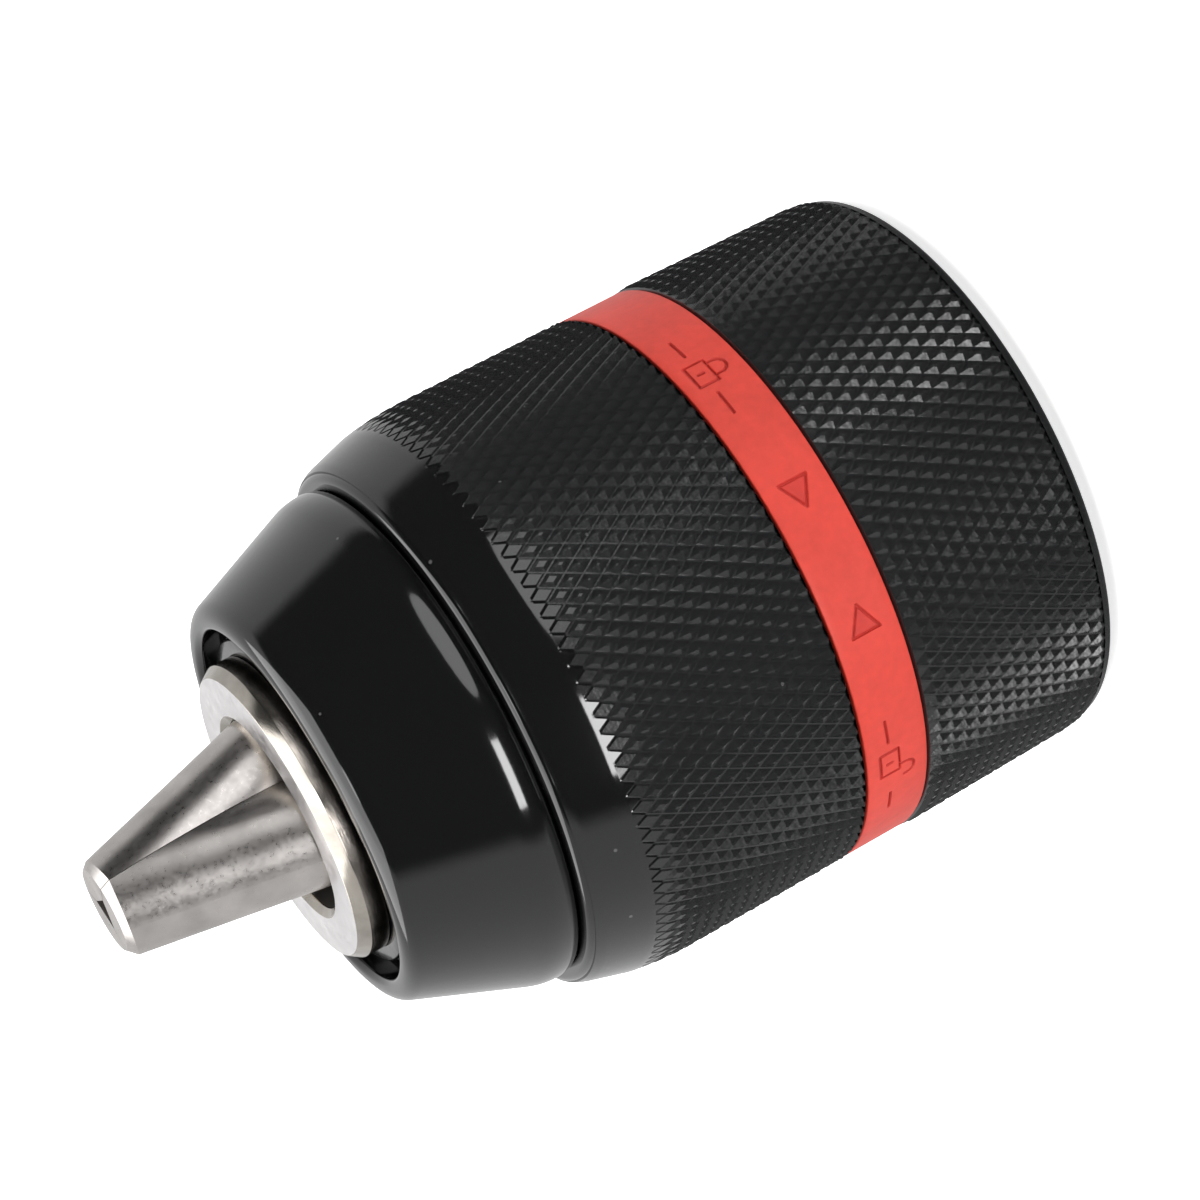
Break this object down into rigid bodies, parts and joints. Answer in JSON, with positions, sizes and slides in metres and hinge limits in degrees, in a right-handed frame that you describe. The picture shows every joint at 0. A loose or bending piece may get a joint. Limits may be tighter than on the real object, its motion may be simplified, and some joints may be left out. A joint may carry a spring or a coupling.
{
  "type": "keyless drill chuck",
  "caption": "Keyless drill chuck with a knurled black metal sleeve, red indicator band, black nose cone and three round steel jaws, self-locking, threaded spindle bore.",
  "frame": {"origin": "centre of the body's rear mounting face", "axes": "+Z along the spindle axis towards the jaws, +X through jaw_1"},
  "size_m": [0.043, 0.043, 0.069],
  "materials": {
    "body_steel": "bright nickel plate, ground face",
    "jaw_steel": "ground and hardened",
    "black_knurl": "knurled steel, glossy black",
    "black_gloss": "smooth steel, glossy black",
    "band_red": "moulded matte red",
    "black_plastic": "moulded black",
    "inner_steel": "oiled steel",
    "nut_steel": "hardened steel",
    "brass_cage": "pressed brass",
    "spring_steel": "blued spring steel"
  },
  "bodies": {
    "body": {"chuck_body": "body_steel", "rear_race": "inner_steel", "ratchet_ring": "nut_steel", "front_bush": "black_plastic", "retaining_ring": "black_gloss", "rear_cover": "inner_steel"},
    "nut": {"nut_half_a": "nut_steel", "nut_half_b": "nut_steel", "nut_sleeve": "inner_steel", "front_race": "inner_steel", "nose_cone": "black_gloss", "detent_spring": "spring_steel"},
    "jaw_1": {"jaw_1": "jaw_steel"},
    "jaw_2": {"jaw_2": "jaw_steel"},
    "jaw_3": {"jaw_3": "jaw_steel"},
    "cage": {"ball_cage": "brass_cage", "bearing_balls": "inner_steel"},
    "sleeve": {"front_shell": "black_knurl", "rear_shell": "black_knurl", "indicator_band": "band_red"},
    "pawl": {"lock_pawl": "spring_steel"}
  },
  "joints": [
    {"name": "nut_turn", "type": "hinge", "parent": "body", "child": "nut", "pos_m": [0, 0, 0.031], "axis": [0, 0, 1], "range_deg": [0, 3780]},
    {"name": "sleeve_lock", "type": "hinge", "parent": "nut", "child": "sleeve", "pos_m": [0, 0, 0.03], "axis": [0, 0, 1], "range_deg": [-24, 0]},
    {"name": "pawl_swing", "type": "hinge", "parent": "nut", "child": "pawl", "pos_m": [0.01461, 0.01248, 0.02265], "axis": [0, 0, 1], "range_deg": [0, 3.1]},
    {"name": "cage_turn", "type": "hinge", "parent": "body", "child": "cage", "pos_m": [0, 0, 0.0261], "axis": [0, 0, 1], "range_deg": [0, 1890.5]},
    {"name": "jaw_1_slide", "type": "slide", "parent": "body", "child": "jaw_1", "axis": [0.2672, 0, -0.9636], "range_m": [0, 0.0218]},
    {"name": "jaw_2_slide", "type": "slide", "parent": "body", "child": "jaw_2", "axis": [-0.1336, 0.2314, -0.9636], "range_m": [0, 0.0218]},
    {"name": "jaw_3_slide", "type": "slide", "parent": "body", "child": "jaw_3", "axis": [-0.1336, -0.2314, -0.9636], "range_m": [0, 0.0218]}
  ],
  "couplings": [
    {"joint": "pawl_swing", "follows": "sleeve_lock", "ratio": -0.1267},
    {"joint": "cage_turn", "follows": "nut_turn", "ratio": 0.5},
    {"joint": "jaw_1_slide", "follows": "nut_turn", "m_per_rad": 0.00033032},
    {"joint": "jaw_2_slide", "follows": "nut_turn", "m_per_rad": 0.00033032},
    {"joint": "jaw_3_slide", "follows": "nut_turn", "m_per_rad": 0.00033032}
  ]
}
